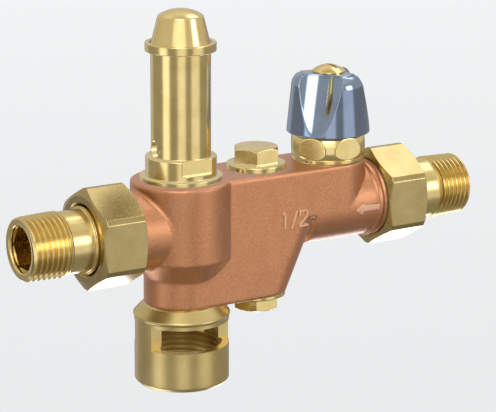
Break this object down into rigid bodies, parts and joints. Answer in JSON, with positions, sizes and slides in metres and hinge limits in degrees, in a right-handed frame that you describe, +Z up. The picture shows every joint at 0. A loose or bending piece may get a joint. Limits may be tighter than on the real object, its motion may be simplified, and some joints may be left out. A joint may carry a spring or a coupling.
{
  "type": "water heater safety valve",
  "caption": "Cast in-line safety group for a water heater, with union ends, a spring relief valve, a check valve, a screw-down shut-off valve and an open discharge funnel.",
  "frame": {"origin": "centre of the outlet tailpiece's open end, on the pipe axis", "axes": "+X along the pipe axis from the outlet to the inlet, +Z up along the relief valve, -Y the face with the flow arrow"},
  "size_m": [0.169, 0.0332, 0.1237],
  "materials": {
    "cast_bronze": "satin",
    "brass": "satin",
    "chrome": "polished",
    "spring_steel": "satin",
    "rubber": "matte",
    "fibre": "matte",
    "valve_plastic": "matte"
  },
  "bodies": {
    "valve": {"valve_body": "cast_bronze", "outlet_tailpiece": "brass", "outlet_gasket": "fibre", "inlet_tailpiece": "brass", "inlet_gasket": "fibre", "relief_bonnet": "brass", "relief_diaphragm": "rubber", "relief_spring": "spring_steel", "adjusting_ring": "brass", "top_plug": "brass", "top_plug_seal": "rubber", "bottom_plug": "brass", "bottom_plug_seal": "rubber", "check_spring": "spring_steel", "headwork": "brass", "spindle_packing": "rubber", "discharge_funnel": "brass"},
    "outlet_nut": {"outlet_union_nut": "brass"},
    "inlet_nut": {"inlet_union_nut": "brass"},
    "relief_stem": {"relief_disc": "brass", "relief_seal": "rubber", "spring_plate": "brass"},
    "relief_cap": {"lifting_cap": "brass", "relief_spindle": "brass"},
    "check_valve": {"check_poppet": "valve_plastic", "check_seal": "rubber"},
    "shutoff_disc": {"disc_holder": "brass", "shutoff_washer": "rubber"},
    "shutoff_handle": {"handle": "chrome", "handle_screw": "brass", "shutoff_spindle": "brass"}
  },
  "joints": [
    {"name": "outlet_nut_turn", "type": "hinge", "parent": "valve", "child": "outlet_nut", "pos_m": [0.03, 0, 0], "axis": [1, 0, 0], "continuous": true},
    {"name": "inlet_nut_turn", "type": "hinge", "parent": "valve", "child": "inlet_nut", "pos_m": [0.139, 0, 0], "axis": [1, 0, 0], "continuous": true},
    {"name": "relief_lift", "type": "slide", "parent": "valve", "child": "relief_stem", "axis": [0, 0, 1], "range_m": [0, 0.002], "stiffness_N_per_m": 5500, "springref_m": -0.01, "deforming": ["relief_spring", "relief_diaphragm"]},
    {"name": "cap_turn", "type": "hinge", "parent": "relief_stem", "child": "relief_cap", "pos_m": [0.0584, 0, 0.06], "axis": [0, 0, 1], "range_deg": [0, 45]},
    {"name": "check_lift", "type": "slide", "parent": "valve", "child": "check_valve", "axis": [0, 0, 1], "range_m": [0, 0.003], "stiffness_N_per_m": 260, "springref_m": -0.004, "deforming": ["check_spring"]},
    {"name": "shutoff_lift", "type": "slide", "parent": "valve", "child": "shutoff_disc", "axis": [0, 0, 1], "range_m": [0, 0.0045]},
    {"name": "handle_turn", "type": "hinge", "parent": "shutoff_disc", "child": "shutoff_handle", "pos_m": [0.1155, 0, 0.03], "axis": [0, 0, 1], "range_deg": [0, 810]}
  ],
  "couplings": [
    {"joint": "cap_turn", "follows": "relief_lift", "rad_per_m": 392.7},
    {"joint": "shutoff_lift", "follows": "handle_turn", "m_per_rad": 0.0003183}
  ]
}
